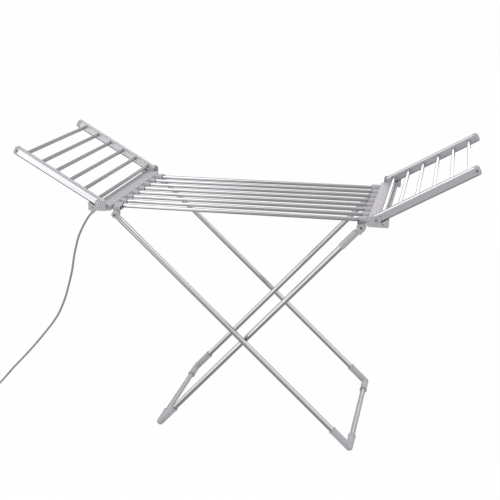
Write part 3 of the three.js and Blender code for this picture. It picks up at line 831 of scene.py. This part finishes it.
for side in SIDES:
    body = f"{side}_wing"
    hinge, along = wing_line(side)
    for end in ENDS:
        node = f"{side}_wing_{end}_rail"
        across = Vector((0, middle(node).y, 0))
        near, far = reach(node, hinge, along)
        rail = repeated(rail_shape, far - near)
        upright = Matrix((along.cross((0, 1, 0)) * -1, (0, 1, 0), along)).transposed().to_4x4()
        place(rail, Matrix.Translation(hinge + across + along * near) @ upright)
        dress(rail, f"{node}_extrusion", body, rail_aluminium[end], [node])
        node = f"{side}_wing_{end}_cap"
        dress_moulding(moulding(node, thick_edge), node, body)
        tip = hinge + along * (reach(node, hinge, along)[1] - cap_screw_inset)
        screw(f"{node}_screw", body, on_face(node, end, tip.x, tip.z), end, cap_screw_radius)

# End beams, hinge housings, hangers
pivot = Vector(joints["legs_fold"]["pos_m"])
pivot_x, pivot_z = abs(pivot.x), pivot.z
hinge_screw_radius = 0.0030
pivot_screw_radius = 0.0036
jaw_dimple = 0.0015
jaw_screw_radius = 0.0028
plate_screw_radius = 0.0014
plate_screw_x, plate_screw_z = 0.461, 0.776
arm_half = 0.0115
pad_y, pad_z = 0.2305, 0.767


def let_in_shade_pad(hanger, side, end):
    """Cuts a seat into the hanger's inner face, and puts the rubber pad in it; its near-black paints the
    deep shade in the gap between hanger and leg head.
    """
    inward = -SIDES[side]
    depth = pad_thick + pad_sunk
    spot = Vector((inward * (arm_half - pivot_x), ENDS[end] * pad_y, pad_z))
    half = Vector((depth, pad_wide / 2, pad_tall / 2))
    cut_away(hanger, block(spot - half, spot + half))
    pad = repeated(pad_shape, pad_wide - pad_gap, pad_tall - pad_gap)
    turn = Matrix(((0, inward, 0), (0, 0, 1), (inward, 0, 0))).transposed().to_4x4()
    place(pad, Matrix.Translation(spot - Vector((inward * depth, 0, 0))) @ turn)
    dress(pad, f"{side}_{end}_hanger_shade_pad", "centre_frame", rubber_and_painted_shade)


for side in SIDES:
    node = f"{side}_beam"
    dress_moulding(moulding(node, thin_edge), node, "centre_frame")
    for end in ENDS:
        corner = f"{side}_{end}"
        node = f"{corner}_hinge_housing"
        dress_moulding(moulding(node, thick_edge), node, "centre_frame")
        face = on_face(node, end, SIDES[side] * plate_screw_x, plate_screw_z)
        screw(f"{corner}_plate_screw", "centre_frame", face, end, plate_screw_radius)
        node = f"{corner}_leg_hanger"
        hanger = moulding(node, thin_edge)
        let_in_shade_pad(hanger, side, end)
        if side == "left":
            face = on_face(node, end, -pivot_x, pivot_z)
            counterbore(hanger, face, end, pivot_screw_radius)
            screw(f"{corner}_leg_screw", "centre_frame", face, end, pivot_screw_radius)
        dress_moulding(hanger, node, "centre_frame")
        node = f"{corner}_hinge_pin"
        face = on_face(node, end, middle(node).x, middle(node).z)
        pin = moulding(node, turned_edge)
        counterbore(pin, face, end, hinge_screw_radius)
        dress(pin, f"{node}_turned", "centre_frame", steel, [node])
        screw(f"{corner}_hinge_screw", "centre_frame", face, end, hinge_screw_radius)

# Legs
for kind, top_x in (("outer", -pivot_x), ("inner", pivot_x)):
    body = f"{kind}_legs"
    node = f"{kind}_leg_foot_tube"
    foot = middle(node)
    foot_tube, leg_radius = level_tube(node, along_y)
    dress(foot_tube, f"{node}_drawn", body, foot_aluminium_painted_highlight, [node])
    for end in ENDS:
        y = middle(f"{kind}_leg_{end}_head").y
        top = Vector((top_x, y, pivot_z))
        corner = Vector((foot.x, y, foot.z))
        down = (corner - top).normalized()
        node = f"{kind}_leg_{end}_tube"
        near, far = reach(node, top, down)
        leg = tube(top + down * near, top + down * far, leg_radius)
        dress(leg, f"{node}_drawn", body, aluminium, [node])
        node = f"{kind}_leg_{end}_head"
        dress_moulding(moulding(node, thin_edge), node, body)
        if kind == "inner":
            face = on_face(node, end, top_x, pivot_z) + OUT[end] * (screw_deep - jaw_dimple)
            screw(f"{kind}_leg_{end}_screw", body, face, end, jaw_screw_radius)
        node = f"{kind}_leg_{end}_elbow"
        dress_moulding(elbow_moulding(node, corner, -down, -OUT[end], leg_radius), node, body)

clear_patterns()

# Studio: a white floor, and a soft room whose lit and unlit parts give the metal its edges
floor_size = 160
floor_white_share = 0.97
paper_level = 0.8
plain_low, plain_high = 0.66, 1.02
mirrored_walls = 0.55
mirrored_ceiling = 1.05
ceiling_from, ceiling_to = 0.60, 0.80
# Each is (way to it, cosine at its edge, cosine at its core, how much brighter than the walls)
panels = (
    ((0.0, 0.99, 0.139), 0.961, 0.978, 1.75),
    ((0.15, 0.88, 0.45), 0.955, 0.985, 0.2),
    ((0.76, 0.0, 0.64), 0.82, 0.906, 1.4),
    ((0.5, -0.85, 0.2), 0.90, 0.96, 0.7),
    ((-0.95, 0.09, 0.28), 0.90, 0.96, 1.0),
)
curtain_brighter = 1.3
curtain_edge, curtain_core = 0.20, 0.30
mirrored_floor = 0.52
mirrored_floor_front = 0.38
front_from, front_to = 0.9, 2.2
lit_front_brighter = 1.8
lit_front_edge, lit_front_core = 0.22, 0.42
lit_rear_brighter = 0.6
lit_rear_from, lit_rear_to = 2.4, 2.9
lit_rear_middle = 0.9
lit_rear_core, lit_rear_edge = 0.40, 0.50
unlit_deep = 0.85
unlit_from, unlit_to = 1.05, 1.25
unlit_front, unlit_back = -0.8, -0.4
key_place = Vector((-1.2, -1.0, 3.4))
key_target = Vector((0, 0, 0.5))
key_size = 1.6
key_watts = 18


def light_path(graph):
    kinds = ("Camera", "Glossy", "Transmission")
    return (graph.node("LightPath", {}, {}, f"Is {kind} Ray") for kind in kinds)


def studio_floor():
    """White to the camera; to the metal, grey with two lit parts and an unlit one."""
    bpy.ops.mesh.primitive_plane_add(size=floor_size)
    floor = bpy.context.object
    floor.name = "studio_floor"
    graph = Finish("floor_paper")
    camera_ray, glossy_ray, clear_ray = light_path(graph)
    mirrored = glossy_ray + clear_ray
    across, back = (graph.node("SeparateXYZ", {}, [graph.place], axis) for axis in "XY")
    front = graph.between(0 - back, front_from, front_to)
    lit_front = front * graph.between(across / back, lit_front_edge, lit_front_core)
    beside = (across - lit_rear_middle).maths("ABSOLUTE") / back
    lit_rear = graph.between(back, lit_rear_from, lit_rear_to) * (
        1 - graph.between(beside, lit_rear_core, lit_rear_edge)
    )
    level = mirrored_floor + mirrored_floor_front * front
    level = level + lit_front_brighter * lit_front + lit_rear_brighter * lit_rear
    unlit = graph.between(0 - across, unlit_from, unlit_to)
    unlit = unlit * graph.between(back, unlit_front, unlit_back)
    level = level * (1 - unlit_deep * unlit)
    paper = graph.node("BsdfDiffuse", {}, {"Color": shade(paper_level)})
    glow = graph.node("Emission", {}, {"Color": camera_ray + mirrored * level})
    mixed = graph.node("MixShader", {}, [floor_white_share * camera_ray + mirrored, paper, glow])
    graph.node("OutputMaterial", {}, {"Surface": mixed})
    floor.data.materials.append(graph.material)


def studio_room():
    """White to the camera; to the metal, walls, a ceiling, panels and a curtain."""
    world = bpy.data.worlds.new("studio")
    bpy.context.scene.world = world
    world.use_nodes = True
    graph = Graph(world.node_tree)
    way = graph.node("TexCoord", {}, {}, "Generated")
    across, back, height = (graph.node("SeparateXYZ", {}, [way], axis) for axis in "XYZ")
    camera_ray, glossy_ray, clear_ray = light_path(graph)
    mirrored = glossy_ray + clear_ray
    room = mirrored_walls + (mirrored_ceiling - mirrored_walls) * graph.between(
        height, ceiling_from, ceiling_to
    )
    for panel_way, edge, core, brighter in panels:
        towards = graph.node("VectorMath", {"operation": "DOT_PRODUCT"}, [way, panel_way], "Value")
        room = room + brighter * graph.between(towards, edge, core)
    curtain = graph.between(0 - across, curtain_edge, curtain_core)
    room = room + curtain_brighter * curtain * graph.between(0 - back, curtain_edge, curtain_core)
    plain = plain_low + (plain_high - plain_low) * graph.between(height, 0.0, 1.0)
    unseen = 1 - camera_ray - mirrored
    level = camera_ray + mirrored * room + unseen * plain
    light = graph.node("Background", {}, {"Color": shade(1.0), "Strength": level})
    graph.node("OutputWorld", {}, {"Surface": light})


def key_light():
    lamp = bpy.data.lights.new("key_light", "AREA")
    lamp.shape = "RECTANGLE"
    lamp.size = lamp.size_y = key_size
    lamp.energy = key_watts
    holder = bpy.data.objects.new("key_light", lamp)
    bpy.context.scene.collection.objects.link(holder)
    holder.location = key_place
    holder.rotation_euler = (key_target - key_place).to_track_quat("-Z", "Y").to_euler()


studio_floor()
studio_room()
key_light()
bpy.context.scene.view_settings.view_transform = "Standard"
